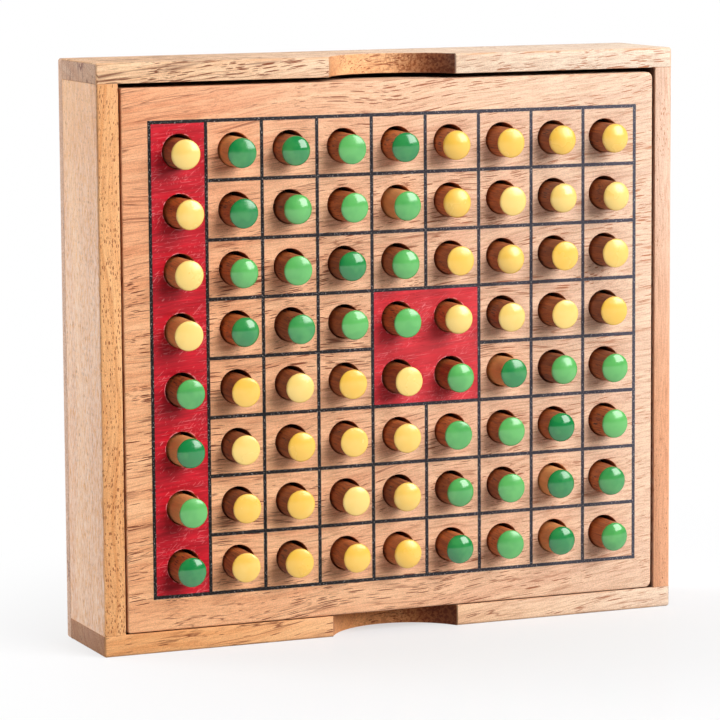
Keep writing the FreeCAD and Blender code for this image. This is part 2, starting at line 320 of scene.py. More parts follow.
# the wood itself in a material's tree: colour, relief, and the places that the rest is drawn on
def layWood(tree, look):
    given = addNode(tree, "ShaderNodeTexCoord").outputs
    place, normal = given["Object"], given["Normal"]
    turned = {"Vector": place, "Location": look["shift"], "Rotation": look["turn"]}
    turned = valueOf(tree, "ShaderNodeMapping", turned)
    ways = split(tree, place)
    # painted light: how far each point lies into the pale wash towards the upper right
    towards = plus(tree, ways[0], times(tree, ways[2], look["fadeRise"]))
    faded = ramp(tree, towards, *(at * mm for at in look["fadeSpan"]))
    fadeShare = times(tree, faded, look["fadeShare"])
    poreFade = times(tree, faded, look["poreFade"])
    wood = addNode(tree, "ShaderNodeGroup", node_tree=woodGroup)
    for label, value in {
        "Vector": turned,
        "Pale": mixTone(tree, fadeShare, look["pale"], look["fadedTone"]),
        "Deep": mixTone(tree, fadeShare, look["deep"], look["fadedTone"]),
        "Pore": mixTone(tree, poreFade, look["pore"], look["fadedPore"]),
        "Ring Gap": look["ringGap"] * mm, "Ring Depth": look["ringDepth"], "Pore Share": look["poreShare"],
        "Pore Length": 1 / mm / look["poreLength"], "Pore Gap": 1 / mm / look["poreGap"],
        "Least Crowd": look["leastCrowd"], "Fibre Depth": look["fibreDepth"],
    }.items():
        plug(tree, wood.inputs[label], value)
    handled = addNode(tree, "ShaderNodeGroup", {"Vector": turned}, node_tree=handledGroup).outputs

    grainWay = Matrix.Rotation(look["turn"][1], 3, "Y") @ Matrix.Rotation(look["turn"][2], 3, "Z")
    endOn = unsigned(tree, vectorMaths(tree, "DOT_PRODUCT", normal, tuple(grainWay[0])))
    endOn = ramp(tree, endOn, 0.45, 0.95)
    # on an end the thin lines would run in curls, so they stay on the long faces
    lineDepth = ramp(tree, endOn, 0.2, 0.8, look["lineDepth"], 0.1 * look["lineDepth"])
    plug(tree, wood.inputs["Line Depth"], lineDepth)
    colour = tinted(tree, endOn, wood.outputs["Color"], look["end"])
    # a few cracks there
    crack = fromMiddle(tree, noise(tree, turned, (60, 300, 60), 0.5))
    crack = times(tree, ramp(tree, crack, 0.0, 0.03, 0.85, 0.0), ramp(tree, endOn, 0.7, 1.0))
    crack = times(tree, crack, blotches(tree, turned, 130, (0.38, 0.5)))
    colour = mixTone(tree, crack, colour, look["pore"])
    rubbed = valueOf(tree, "ShaderNodeGroup", {"Normal": normal, "Vector": place}, node_tree=rubbedGroup)
    colour = mixTone(tree, times(tree, rubbed, 0.45), colour, look["rubbed"])
    return {
        "place": place, "normal": normal, "turned": turned, "faded": faded, "colour": colour,
        "grain": wood, "height": wood.outputs["Height"], "pores": wood.outputs["Pores"],
        "smudge": handled["Smudge"], "scratch": handled["Scratch"],
    }


def finishWood(tree, shader, colour, roughness, height, depth):
    plug(tree, shader.inputs["Base Color"], colour)
    plug(tree, shader.inputs["Roughness"], roughness)
    bump = {"Strength": grain["bump"], "Distance": depth * mm, "Height": height}
    plug(tree, shader.inputs["Normal"], valueOf(tree, "ShaderNodeBump", bump))
    shader.inputs["Specular IOR Level"].default_value = grain["shine"]


alongX, alongZ, alongY = (0.0, 0.0, 0.0), (0.0, math.pi / 2, 0.0), (0.0, 0.0, -math.pi / 2)
leaning = (0.0, math.radians(5.5), 0.0)
inPlace = (0.0, 0.0, 0.0)

plankLook = {
    "outerEase": 0.8, "innerEase": 0.16, "easeSteps": 3, "easedAngle": 25, "sharpAngle": 40,
    "notchWidth": 42.4, "notchDepth": 12.7, "notchSteps": 40,
}
# painted light: all the wood is painted paler towards the upper right, where the light falls strongest and
# washes the colour out
paintedLightWash = {
    "fadeSpan": (-75, 150), "fadeRise": 0.25, "fadedTone": (241, 230, 214), "fadedPore": (206, 136, 98),
    "fadeShare": 0.55, "poreFade": 0.65, "leastCrowd": 0.25,
}
caseWood = {
    **paintedLightWash, "pale": (244, 186, 128), "deep": (222, 150, 92), "pore": (104, 42, 16),
    "end": (226, 216, 212), "rubbed": (225, 165, 115), "inside": (120, 92, 76), "wornTone": (252, 226, 208),
    "notchPale": (255, 232, 200), "notchDeep": (168, 126, 100), "notchSpots": (172, 122, 96),
    "ringGap": 3.2, "ringDepth": 0.8, "lineDepth": 0.7, "fibreDepth": 0.45, "darkLines": 0.0,
    "sideWear": 0.0, "poreShare": 0.46, "poreLength": 9.5, "poreGap": 0.48, "sidePores": 0.34,
    "roughness": (0.58, 0.74), "relief": 0.1, "varnish": 0.0, "varnishRoughness": 0.42,
}
sideWood = {
    **caseWood, "pale": (243, 188, 130), "deep": (220, 150, 90), "pore": (158, 94, 52),
    "ringDepth": 1.0, "lineDepth": 0.3, "fibreDepth": 0.4, "fadeShare": 0.22, "sideWear": 0.85,
    "varnish": 0.6, "poreShare": 0.48, "poreLength": 1.6, "poreGap": 0.44, "leastCrowd": 0.7,
    "sidePores": 0.36,
}
# the right wall is plainer, and is painted paler towards its top as painted light
rightWood = {
    **sideWood, "pale": (240, 178, 138), "deep": (218, 154, 114), "poreShare": 0.32, "leastCrowd": 0.3,
    "fadeSpan": (150, 240), "fadeRise": 1.0, "fadeShare": 0.42,
}
topWood = {
    **caseWood, "pale": (250, 210, 168), "deep": (228, 170, 120), "end": (208, 202, 208),
    "lineDepth": 1.0, "darkLines": 0.85, "fadeShare": 0.7, "poreFade": 0.8, "poreGap": 0.42,
}
bottomWood = {**caseWood, "end": (184, 180, 192), "lineDepth": 0.85, "poreShare": 0.36, "fadeShare": 0.75}
panelWood = {
    **caseWood, "pale": (230, 188, 156), "deep": (208, 160, 124), "end": (236, 228, 222),
    "poreShare": 0.38, "sidePores": 0.2, "varnish": 0.3, "sideWear": 0.5,
}


def makeCaseWood(name, turn, shift, look):
    material, tree, shader = newMaterial(name)
    wood = layWood(tree, {**look, "turn": turn, "shift": shift})
    x, y, z = split(tree, wood["place"])
    facing = split(tree, wood["normal"])
    colour = wood["colour"]
    side = ramp(tree, unsigned(tree, facing[0]), 0.5, 0.9)
    if look["darkLines"]:
        # a few long dark lines at the left end
        lines = fromMiddle(tree, noise(tree, wood["turned"], (9, 520, 520), 1.0))
        lines = ramp(tree, lines, 0.0, 0.045, look["darkLines"], 0.0)
        broken = blotches(tree, wood["turned"], (50, 300, 300), (0.36, 0.52))
        leftEnd = ramp(tree, x, caseLow.x + 40 * mm, caseLow.x + 75 * mm, 1.0, 0.0)
        lines = times(tree, lines, broken, leftEnd, opposite(tree, side))
        colour = mixTone(tree, lines, colour, look["pore"])
    # few pores show on the outer sides
    poreShare = ramp(tree, side, 0.0, 1.0, look["poreShare"], look["sidePores"])
    plug(tree, wood["grain"].inputs["Pore Share"], poreShare)
    # painted shade: darker inside the case, where the gaps round the board and the inner faces lie in shade
    slack, soft = 0.1 * mm, 0.05 * mm
    inside = times(
        tree, between(tree, x, innerLow.x - slack, innerHigh.x + slack, soft),
        between(tree, z, innerLow.z - slack, innerHigh.z + slack, soft),
        ramp(tree, y, frontY + 0.2 * mm, frontY + 1.5 * mm),
        ramp(tree, y, caseLow.y + 0.5 * mm, caseLow.y + 0.7 * mm, 1.0, 0.0),
    )
    colour = tinted(tree, inside, colour, look["inside"])
    # sawn and unsealed in the thumb notches; the arc turns darker towards the right, partly for its end
    # grain and partly as painted shade where it faces away from the key light, and its left part is painted
    # pale as lit
    half = plankLook["notchWidth"] * mm / 2
    upright = ramp(tree, unsigned(tree, facing[2]), 0.3, 0.7, 1.0, 0.0)
    within = between(tree, y, frontY + 0.4 * mm, frontY + 13 * mm, 0.3 * mm)
    notch = times(tree, between(tree, x, -half, half, 0.1 * mm), upright, within)
    darker = ramp(tree, x, 0.05 * half, 0.85 * half)
    rawLitShaded = mixTone(tree, darker, look["notchPale"], look["notchDeep"])
    spots = blotches(tree, wood["place"], 1100, (0.42, 0.6))
    spots = times(tree, spots, ramp(tree, x, -0.4 * half, 0.7 * half, 0.15, 0.75))
    rawLitShaded = tinted(tree, spots, rawLitShaded, look["notchSpots"])
    colour = tinted(tree, notch, colour, rawLitShaded)
    # the outer sides are worn pale in streaks along the grain, which is also a painted sheen of the bright
    # room seen at a grazing angle, kept weaker towards the top as painted shade there; the varnish shines in
    # the same streaks
    streaks = blotches(tree, wood["turned"], (330, 1700, 1700), (0.3, 0.72), 4.0, 0.7)
    lower = ramp(tree, z, 0.55 * caseHigh.z, caseHigh.z, 1.0, 0.25)
    wearAndSheen = times(tree, side, times(tree, streaks, 0.95), lower, look["sideWear"])
    colour = mixTone(tree, wearAndSheen, colour, look["wornTone"])
    roughness = ramp(tree, wood["smudge"], *grain["smudges"], *look["roughness"])
    finishWood(tree, shader, colour, roughness, wood["height"], look["relief"])
    if look["varnish"]:
        plug(tree, shader.inputs["Coat Weight"], times(tree, streaks, look["varnish"]))
        shader.inputs["Coat Roughness"].default_value = look["varnishRoughness"]
    return material


topAcross = makeCaseWood("topWallWood", leaning, (0.05, 0.0, 0.0), topWood)
bottomAcross = makeCaseWood("bottomWallWood", leaning, inPlace, bottomWood)
caseUpright = makeCaseWood("caseWoodUpright", alongZ, inPlace, sideWood)
rightUpright = makeCaseWood("rightWallWood", alongZ, inPlace, rightWood)
panelAcross = makeCaseWood("panelWood", alongX, (0.3, 0.1, 0.2), panelWood)
print("case woods made")


# planks of the case: a plain outline drawn up, with eased outer edges and tight joints

planks = {
    "top_wall": topAcross, "bottom_wall": bottomAcross, "left_wall": caseUpright, "right_wall": rightUpright,
    "left_rail": caseUpright, "right_rail": caseUpright, "back_panel": panelAcross,
}
notched = ("top_wall", "bottom_wall")


def pieceName(node):
    first, *others = node.split("_")
    return first + "".join(word.capitalize() for word in others)


def linkedObject(name, data):
    made = bpy.data.objects.new(name, data)
    scene.collection.objects.link(made)
    return made


def meshPiece(name, mesh, material):
    mesh.name = name
    mesh.materials.clear()
    mesh.materials.append(material)
    return linkedObject(name, mesh)


def looseObject(name, shell):
    mesh = bpy.data.meshes.new(name)
    shell.to_mesh(mesh)
    shell.free()
    return linkedObject(name, mesh)


# the evaluated result of an object's modifiers, as a plain mesh with closed seams and outward faces
def plainMesh(source, sharpAngle):
    sharpest = math.radians(sharpAngle)
    bpy.context.view_layer.update()
    graph = bpy.context.evaluated_depsgraph_get()
    mesh = bpy.data.meshes.new_from_object(source.evaluated_get(graph), depsgraph=graph)
    shell = bmesh.new()
    shell.from_mesh(mesh)
    bmesh.ops.remove_doubles(shell, verts=shell.verts, dist=0.001 * mm)
    bmesh.ops.recalc_face_normals(shell, faces=shell.faces)
    for face in shell.faces:
        face.smooth = True
    for edge in shell.edges:
        edge.smooth = len(edge.link_faces) == 2 and edge.calc_face_angle() < sharpest
    shell.to_mesh(mesh)
    shell.free()
    old = source.data
    bpy.data.objects.remove(source)
    bpy.data.meshes.remove(old)
    return mesh


def joinRings(shell, first, second):
    count = len(first)
    for step in range(count):
        following = (step + 1) % count
        shell.faces.new((first[step], first[following], second[following], second[step]))


def notchLine(middle, front):
    half, deep = plankLook["notchWidth"] * mm / 2, plankLook["notchDepth"] * mm
    radius = (half ** 2 + deep ** 2) / (2 * deep)
    reach = math.asin(half / radius)
    steps = plankLook["notchSteps"]
    angles = [reach - 2 * reach * step / steps for step in range(steps + 1)]
    return [(middle + radius * math.sin(a), front + deep - radius + radius * math.cos(a)) for a in angles]


def onOuterEdge(point):
    near = 0.01 * mm
    sides = abs(point.x - caseLow.x) < near or abs(point.x - caseHigh.x) < near
    levels = abs(point.z - caseLow.z) < near or abs(point.z - caseHigh.z) < near
    faces = abs(point.y - frontY) < near or abs(point.y - caseHigh.y) < near
    return sides + levels + faces >= 2


def makePlank(node, finish):
    low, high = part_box(node)
    outline = [(low.x, high.y), (low.x, low.y)]
    if node in notched:
        outline += reversed(notchLine((low.x + high.x) / 2, low.y))
    outline += [(high.x, low.y), (high.x, high.y)]
    shell = bmesh.new()
    bottom = [shell.verts.new((x, y, low.z)) for x, y in outline]
    top = [shell.verts.new((x, y, high.z)) for x, y in outline]
    shell.faces.new(bottom)
    shell.faces.new(list(reversed(top)))
    joinRings(shell, top, bottom)
    bmesh.ops.recalc_face_normals(shell, faces=shell.faces)
    weights = shell.edges.layers.float.new("bevel_weight_edge")
    innerWeight = plankLook["innerEase"] / plankLook["outerEase"]
    for edge in shell.edges:
        middle = (edge.verts[0].co + edge.verts[1].co) / 2
        if edge.calc_face_angle() > math.radians(plankLook["easedAngle"]):
            edge[weights] = 1.0 if onOuterEdge(middle) else innerWeight
    rough = looseObject(pieceName(node) + "Rough", shell)
    ease = rough.modifiers.new("ease", "BEVEL")
    ease.limit_method = "WEIGHT"
    ease.width = plankLook["outerEase"] * mm
    ease.segments = plankLook["easeSteps"]
    ease.use_clamp_overlap = True
    piece = meshPiece(pieceName(node), plainMesh(rough, plankLook["sharpAngle"]), finish)
    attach(piece, "case")
    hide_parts(node)


for plankNode, plankFinish in planks.items():
    makePlank(plankNode, plankFinish)
print("case planks made")


# the drilled board: one hole tile on a grid of points, joined to a border with eased edges

board = {
    "holeDiameter": 10.6, "holeDepth": 13.0, "rimEase": 0.25, "edgeEase": 0.6, "backEase": 0.3,
    "leftCorner": 0.8, "rightCorner": 1.9, "sideSteps": 12, "cornerSteps": 4, "pegDrop": 0.5,
    "sharpAngle": 40, "wobble": 0.22, "lineSoftness": 0.08, "paintRise": 0.5,
    "gridInset": (8.9, 10.28), "cell": 18.0, "lineWidth": 1.1, "redCentre": (4, 6, 3, 5),
    **paintedLightWash, "pale": (250, 194, 146), "deep": (230, 158, 110), "pore": (104, 40, 16),
    "end": (188, 164, 148), "rubbed": (240, 190, 150), "clearTone": (253, 244, 244),
    "holeTint": (215, 185, 165), "ringGap": 3.0, "ringDepth": 0.85, "lineDepth": 0.7, "fibreDepth": 0.5,
    "poreFade": 0.85, "poreShare": 0.45, "poreLength": 10.0, "poreGap": 0.42,
    "clearReach": (35, 75), "clearShare": 0.35, "quietReach": (30, 100), "quietShare": 0.6,
    "turn": (0.0, math.radians(6.0), 0.0), "shift": inPlace, "relief": 0.12,
    "bareRoughness": (0.56, 0.72), "paintRoughness": (0.36, 0.52),
    "redDeep": (168, 8, 28), "redPale": (212, 22, 42), "redFaded": (248, 92, 96), "redWorn": (246, 150, 152),
    "redFade": 0.7, "redScratch": 0.45, "redChip": 0.9, "redPores": 0.25,
    "black": (14, 9, 8), "blackFaded": (74, 72, 84), "blackWorn": (206, 198, 194),
    "blackBend": 1.5, "blackSpecks": 0.45,
}
holeRadius = board["holeDiameter"] * mm / 2
firstHole = Vector((pegFoot.x + pegRadius, frontY, pegFoot.z + pegRadius + board["pegDrop"] * mm))
fieldLow = firstHole - Vector((pitchAcross / 2, 0, pitchUp / 2))
fieldHigh = fieldLow + Vector((pitchAcross * columns, 0, pitchUp * rows))


def evenPoints(start, end, steps):
    return [tuple(a + (b - a) * step / steps for a, b in zip(start, end)) for step in range(steps)]


# a closed line of points, evenly spaced on each side of a rectangle, anticlockwise seen from the front
def squareLine(low, high, acrossSteps, upSteps):
    corners = [(low[0], low[1]), (high[0], low[1]), (high[0], high[1]), (low[0], high[1])]
    points = []
    for side, steps in enumerate((acrossSteps, upSteps, acrossSteps, upSteps)):
        points += evenPoints(corners[side], corners[(side + 1) % 4], steps)
    return points


def addRing(shell, points, depth):
    return [shell.verts.new((x, frontY + depth, z)) for x, z in points]


def makeHoleTile():
    steps, ease, deep = board["sideSteps"], board["rimEase"] * mm, board["holeDepth"] * mm
    shell = bmesh.new()
    half = (pitchAcross / 2, pitchUp / 2)
    rings = [addRing(shell, squareLine((-half[0], -half[1]), half, steps, steps), 0.0)]
    count = steps * 4
    angles = [math.radians(225) + 2 * math.pi * step / count for step in range(count)]
    profile = [(holeRadius + ease, 0.0), (holeRadius + 0.3 * ease, 0.3 * ease), (holeRadius, ease)]
    profile += [(holeRadius, deep), (holeRadius * 0.5, deep)]
    for radius, depth in profile:
        rings.append(addRing(shell, [(radius * math.cos(a), radius * math.sin(a)) for a in angles], depth))
    for outer, inner in zip(rings, rings[1:]):
        joinRings(shell, outer, inner)
    shell.faces.new(rings[-1])
    return looseObject("holeTile", shell)


# the board's outline drawn in by some inset, with as many points as the field's edge has
def boardOutline(inset, acrossSteps, upSteps):
    half = board["cornerSteps"]
    corners = []
    for x, z, corner, start in (
        (boardLow.x, boardLow.z, "leftCorner", 180), (boardHigh.x, boardLow.z, "rightCorner", 270),
        (boardHigh.x, boardHigh.z, "rightCorner", 0), (boardLow.x, boardHigh.z, "leftCorner", 90),
    ):
        drawn = max(board[corner] * mm - inset, 0.05 * mm)
        middleX = x + (inset + drawn) * (1 if x == boardLow.x else -1)
        middleZ = z + (inset + drawn) * (1 if z == boardLow.z else -1)
        turns = [math.radians(start + 90 * step / (2 * half)) for step in range(2 * half + 1)]
        corners.append([(middleX + drawn * math.cos(a), middleZ + drawn * math.sin(a)) for a in turns])
    points = []
    for side, steps in enumerate((acrossSteps, upSteps, acrossSteps, upSteps)):
        leaving, arriving = corners[side][half:], corners[(side + 1) % 4][:half + 1]
        points += leaving[:-1]
        points += evenPoints(leaving[-1], arriving[0], steps - 2 * half)
        points += arriving[:-1]
    return points


def makeBoardBorder():
    across, up = columns * board["sideSteps"], rows * board["sideSteps"]
    ease, backEase, thick = board["edgeEase"] * mm, board["backEase"] * mm, boardHigh.y - boardLow.y
    shell = bmesh.new()
    field = squareLine((fieldLow.x, fieldLow.z), (fieldHigh.x, fieldHigh.z), across, up)
    rings = [addRing(shell, field, 0.0)]
    for turn in (0, 22.5, 45, 67.5, 90):
        a = math.radians(turn)
        outline = boardOutline(ease * (1 - math.sin(a)), across, up)
        rings.append(addRing(shell, outline, ease * (1 - math.cos(a))))
    rings.append(addRing(shell, boardOutline(0.0, across, up), thick - backEase))
    rings.append(addRing(shell, boardOutline(backEase, across, up), thick))
    for inner, outer in zip(rings, rings[1:]):
        joinRings(shell, inner, outer)
    shell.faces.new(rings[-1])
    return looseObject("boardBorder", shell)


# rows and columns of points, and what stands on them
def lineOfPoints(tree, count, start, offset):
    inputs = {"Count": count, "Start Location": start, "Offset": offset}
    return valueOf(tree, "GeometryNodeMeshLine", inputs, mode="OFFSET")


def standOn(tree, points, piece, **more):
    return valueOf(tree, "GeometryNodeInstanceOnPoints", {"Points": points, "Instance": piece, **more})


def merged(tree, geometry, reach):
    return valueOf(tree, "GeometryNodeMergeByDistance", {"Geometry": geometry, "Distance": reach})


def finished(tree, geometry, finish):
    return valueOf(tree, "GeometryNodeSetMaterial", {"Geometry": geometry, "Material": finish})


def makeBoardTree():
    inputs = {
        "Object": ["Tile", "Border"], "Int": ["Columns", "Rows"], "Float": ["Pitch Across", "Pitch Up"],
        "Vector": ["First Hole"], "Material": ["Finish"],
    }
    outputs = {"Geometry": ["Geometry"]}
    tree, given, result = newGroup("drilledBoard", "GeometryNodeTree", inputs, outputs)
    across, upward = joined(tree, {0: given["Pitch Across"]}), joined(tree, {2: given["Pitch Up"]})
    row = lineOfPoints(tree, given["Columns"], given["First Hole"], across)
    stack = lineOfPoints(tree, given["Rows"], (0.0, 0.0, 0.0), upward)
    tile = valueOf(tree, "GeometryNodeObjectInfo", {"Object": given["Tile"]}, "Geometry")
    border = valueOf(tree, "GeometryNodeObjectInfo", {"Object": given["Border"]}, "Geometry")
    field = standOn(tree, row, standOn(tree, stack, tile))
    both = addNode(tree, "GeometryNodeJoinGeometry")
    tree.links.new(field, both.inputs[0])
    tree.links.new(border, both.inputs[0])
    whole = valueOf(tree, "GeometryNodeRealizeInstances", {0: both.outputs[0]})
    plug(tree, result[0], finished(tree, merged(tree, whole, 0.005 * mm), given["Finish"]))
    return tree


# an object with one geometry tree on it, its inputs set by name before it is first evaluated
def growObject(name, tree, values):
    source = linkedObject(name, bpy.data.meshes.new(name))
    grow = source.modifiers.new("grow", "NODES")
    grow.node_group = tree
    for item in tree.interface.items_tree:
        if item.item_type == "SOCKET" and item.in_out == "INPUT":
            grow[item.identifier] = values[item.name]
    return source


def makeBoardFinish():
    material, tree, shader = newMaterial("boardWood")
    wood = layWood(tree, board)
    place, colour = wood["place"], wood["colour"]
    x, y, z = split(tree, place)
    cell, half = board["cell"] * mm, board["lineWidth"] * mm / 2

    # clear pinkish wood with few pores in the upper left corner, and fewer pores in the lower right one
    def nearCorner(corner, reach, atCorner, beyond):
        return ramp(tree, distance(tree, place, corner), *(at * mm for at in reach), atCorner, beyond)

    clear = nearCorner((boardLow.x, frontY, boardHigh.z), board["clearReach"], 1.0, 0.0)
    share = ramp(tree, clear, 0.0, 1.0, board["poreShare"], board["poreShare"] * board["clearShare"])
    quiet = nearCorner((boardHigh.x, frontY, boardLow.z), board["quietReach"], board["quietShare"], 1.0)
    plug(tree, wood["grain"].inputs["Pore Share"], times(tree, share, quiet))
    colour = tinted(tree, clear, colour, board["clearTone"])

    # places on the printed grid, in cells from its lower left corner, and distance to the nearest line
    u = over(tree, minus(tree, x, boardLow.x + board["gridInset"][0] * mm), cell)
    v = over(tree, minus(tree, z, boardLow.z + board["gridInset"][1] * mm), cell)
    wobble = times(tree, minus(tree, noise(tree, place, 900), 0.5), board["wobble"] * mm)

    def toNearest(steps):
        return minus(tree, steps, maths(tree, "ROUND", steps))

    def lineMask(steps):
        away = plus(tree, times(tree, unsigned(tree, toNearest(steps)), cell), wobble)
        soft = board["lineSoftness"] * mm
        return ramp(tree, away, half - soft, half + soft, 1.0, 0.0)

    def inCells(left, right, bottom, top, soft=0.004):
        return times(tree, between(tree, u, left, right, soft), between(tree, v, bottom, top, soft))

    edge = half / cell
    left, right, bottom, top = board["redCentre"]
    inGrid = inCells(-edge, columns + edge, -edge, rows + edge)
    red = largest(tree, inCells(0.0, 1.0, 0.0, rows), inCells(left, right, bottom, top))
    deepReserve = inCells(edge, 1 - edge, 0.5, rows - 0.5)
    deepCentre = inCells(left + edge, right - edge, bottom + edge, top - edge)
    front = ramp(tree, y, frontY + 0.05 * mm, frontY + 0.2 * mm, 1.0, 0.0)
    upright = times(tree, lineMask(u), opposite(tree, deepCentre))
    level = times(tree, lineMask(v), opposite(tree, largest(tree, deepReserve, deepCentre)))
    lines = times(tree, largest(tree, upright, level), inGrid)

    # distance from the middle of the nearest hole, for its rim and the painted shade inside it
    def fromNearest(along, first, pitch):
        return times(tree, toNearest(over(tree, minus(tree, along, first), pitch)), pitch)

    offX, offZ = fromNearest(x, firstHole.x, pitchAcross), fromNearest(z, firstHole.z, pitchUp)
    fromHole = maths(tree, "SQRT", plus(tree, squared(tree, offX), squared(tree, offZ)))
    soft = 0.1 * mm
    shadeInHole = ramp(tree, fromHole, holeRadius + 0.02 * mm, holeRadius + 0.12 * mm, 1.0, 0.0)
    inside = ramp(tree, y, frontY + 0.2 * mm, frontY + 1.2 * mm)
    inField = between(tree, x, fieldLow.x, fieldHigh.x, soft)
    inField = times(tree, inField, between(tree, z, fieldLow.z, fieldHigh.z, soft))
    shadeInHole = times(tree, shadeInHole, inside, inField)
    chipped = between(tree, fromHole, holeRadius - 0.2 * mm, holeRadius + 0.32 * mm, 0.14 * mm)
    chipped = times(tree, chipped, blotches(tree, place, 520, (0.5, 0.58), 3.0, 0.6))

    # paint over the wood: the grain and the scratches still show through it
    streaks = blotches(tree, wood["turned"], (60, 900, 900), (0.3, 0.7), 3.0, 0.6)
    redPaint = mixTone(tree, streaks, board["redDeep"], board["redPale"])
    # painted light: the red is mixed towards a paler red towards the upper right, a painted wash of light
    # and glare
    redPaint = mixTone(tree, times(tree, wood["faded"], board["redFade"]), redPaint, board["redFaded"])
    scratched = times(tree, wood["scratch"], board["redScratch"])
    redWear = largest(tree, scratched, times(tree, chipped, board["redChip"]))
    redPaint = mixTone(tree, redWear, redPaint, board["redWorn"])
    redPaint = mixTone(tree, times(tree, wood["pores"], board["redPores"]), redPaint, board["redDeep"])
    # painted glare: the black print turns a bluish grey towards the upper right
    blackGlareShare = maths(tree, "POWER", wood["faded"], board["blackBend"])
    blackPaint = mixTone(tree, blackGlareShare, board["black"], board["blackFaded"])
    specks = blotches(tree, place, 2300, (0.61, 0.69), 1.0, 0.6)
    blackPaint = mixTone(tree, times(tree, specks, board["blackSpecks"]), blackPaint, board["blackWorn"])
    colour = mixTone(tree, times(tree, red, front), colour, redPaint)
    colour = mixTone(tree, times(tree, lines, front), colour, blackPaint)
    # painted shade inside the holes
    colour = tinted(tree, shadeInHole, colour, board["holeTint"])

    painted = times(tree, largest(tree, red, lines), front)
    bare = ramp(tree, wood["smudge"], *grain["smudges"], *board["bareRoughness"])
    coated = ramp(tree, wood["smudge"], *grain["smudges"], *board["paintRoughness"])
    height = plus(tree, wood["height"], times(tree, painted, board["paintRise"]))
    finishWood(tree, shader, colour, mixNumber(tree, painted, bare, coated), height, board["relief"])
    return material


boardFinish = makeBoardFinish()
tileObject, borderObject = makeHoleTile(), makeBoardBorder()
boardSource = growObject("boardSource", makeBoardTree(), {
    "Tile": tileObject, "Border": borderObject, "Columns": columns, "Rows": rows,
    "Pitch Across": pitchAcross, "Pitch Up": pitchUp, "First Hole": Vector((firstHole.x, 0, firstHole.z)),
    "Finish": boardFinish,
})
boardPiece = meshPiece("drilledBoard", plainMesh(boardSource, board["sharpAngle"]), boardFinish)
for spare in (tileObject, borderObject):
    bpy.data.objects.remove(spare)
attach(boardPiece, "board")
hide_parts("game_board")
print("drilled board made:", len(boardPiece.data.polygons), "faces")


# turned pegs with dipped ends

pegs = {
    "dome": (0.6, 1.5), "edgeSoftness": 0.5, "segments": 40, "rings": 31, "domeShare": 0.4, "overRim": 1.35,
    "bead": 0.05, "beadEnd": 0.5, "paintOver": 0.25, "ragged": 0.7, "sharpAngle": 60,
    "pivot": 6.5, "droop": (-1.0, 1.3), "sway": (-3.0, 3.0), "slip": (-0.15, 0.65), "seed": 31,
    **paintedLightWash, "pale": (190, 106, 44), "deep": (136, 66, 26), "pore": (72, 34, 16),
    "end": (230, 220, 215), "rubbed": (190, 106, 44), "paleWood": (212, 156, 94),
    "fadeShare": 0.0, "poreFade": 0.0, "ringGap": 2.2, "ringDepth": 0.9, "lineDepth": 0.5, "fibreDepth": 0.9,
    "poreShare": 0.4, "poreLength": 5.0, "poreGap": 0.5, "shift": inPlace, "turn": alongY, "relief": 0.06,
    "yellow": ((248, 196, 74), (252, 214, 118)), "green": ((10, 130, 62), (96, 184, 94)),
    "gloss": {"yellow": (0.16, 0.34), "green": (0.1, 0.24)}, "bareRoughness": (0.6, 0.75), "ior": 1.62,
    "palest": 0.8, "bareShade": (0.7, 1.3), "uneven": (-0.18, 0.18), "ripple": 0.5, "shine": 0.75,
}


# stores a value on the geometry under a name that the finish reads
def keepValue(tree, geometry, name, value, domain):
    inputs = {"Geometry": geometry, "Name": name, "Value": value}
    settings = {"data_type": "FLOAT", "domain": domain}
    return valueOf(tree, "GeometryNodeStoreNamedAttribute", inputs, **settings)


